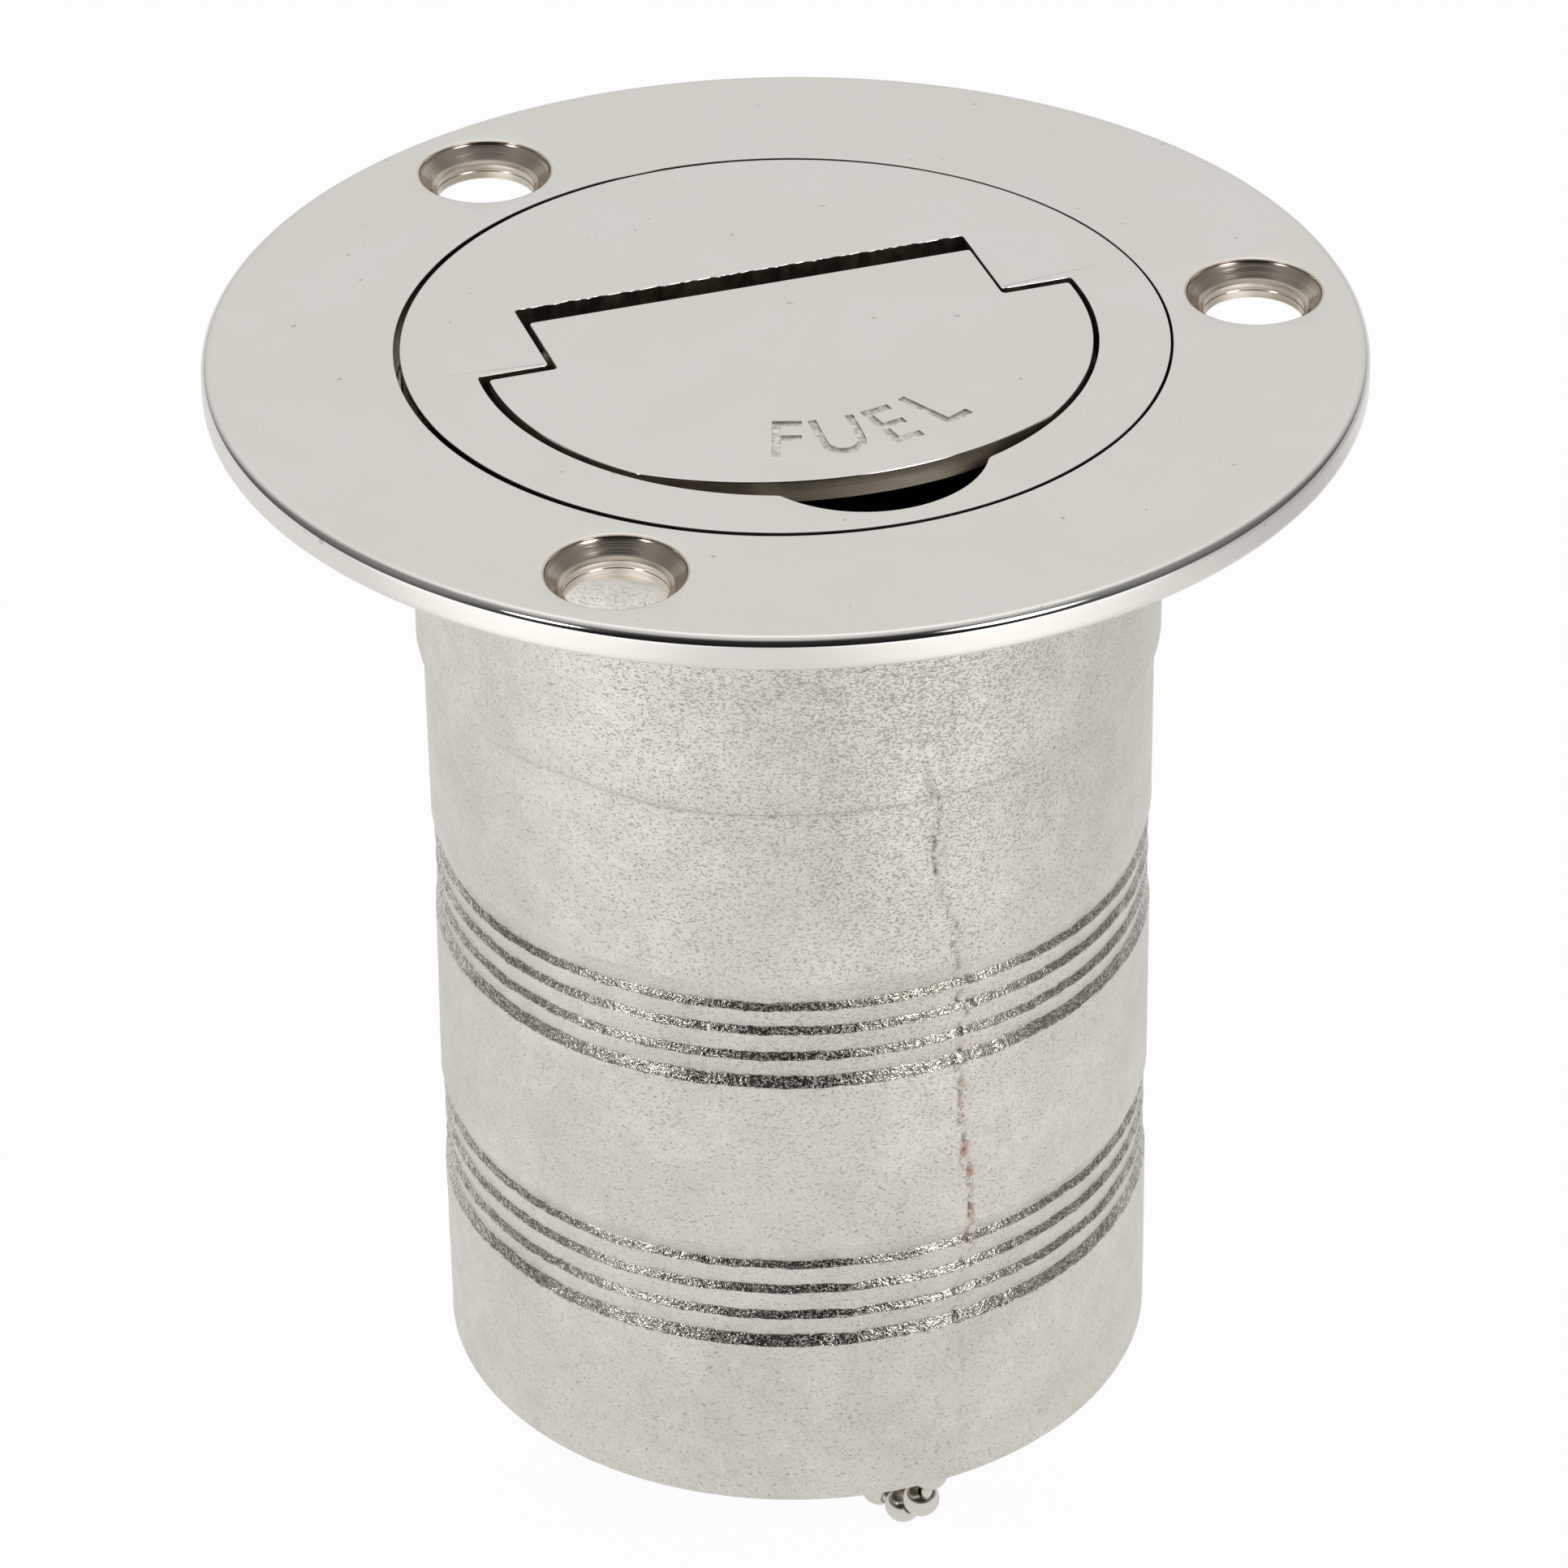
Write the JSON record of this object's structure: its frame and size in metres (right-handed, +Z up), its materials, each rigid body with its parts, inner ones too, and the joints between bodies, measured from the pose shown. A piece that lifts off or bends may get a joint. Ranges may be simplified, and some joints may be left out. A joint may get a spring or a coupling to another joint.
{
  "type": "deck fill cap",
  "caption": "Round flush deck fill with a screw-in cap, flip-up lift handle, barbed hose tail and bead chain that keeps the cap.",
  "frame": {"origin": "on the axis of the fill, in the plane of the flange's underside, which is the deck's surface", "axes": "+Z up along the fill's axis, out of the deck; +X to the right and +Y away as the fill is seen from the side of its finger notch; -Z down the hose tail"},
  "size_m": [0.08, 0.08, 0.0927],
  "materials": {
    "cast_steel": "investment cast, lightly blasted; polished flange",
    "polished_steel": "mirror polished",
    "brushed_steel": "brushed",
    "black_rubber": "matt",
    "chromed_brass": "chrome plated"
  },
  "bodies": {
    "deck_body": {"deck_flange_casting": "cast_steel", "anchor_screw": "brushed_steel", "anchor_washer": "brushed_steel", "body_chain_eyelet": "brushed_steel", "chain_body_side": "chromed_brass"},
    "chain_swivel": {"cap_chain_eyelet": "brushed_steel", "chain_cap_side": "chromed_brass"},
    "cap": {"threaded_cap": "polished_steel", "cap_o_ring": "black_rubber", "hinge_pin_left": "brushed_steel", "hinge_pin_right": "brushed_steel", "chain_swivel_screw": "brushed_steel", "chain_swivel_washer": "brushed_steel"},
    "handle": {"lift_handle": "polished_steel"}
  },
  "joints": [
    {"name": "cap_rise", "type": "slide", "parent": "deck_body", "child": "chain_swivel", "axis": [0, 0, 1], "range_m": [0, 0.007]},
    {"name": "cap_turn", "type": "hinge", "parent": "chain_swivel", "child": "cap", "pos_m": [0, 0, 0], "axis": [0, 0, 1], "range_deg": [0, 1260]},
    {"name": "handle_flip", "type": "hinge", "parent": "cap", "child": "handle", "pos_m": [-0.00148, 0.00457, 0.0008], "axis": [-0.9513, -0.3082, 0], "range_deg": [0, 90]}
  ],
  "couplings": [
    {"joint": "cap_rise", "follows": "cap_turn", "m_per_rad": 0.00031831}
  ]
}
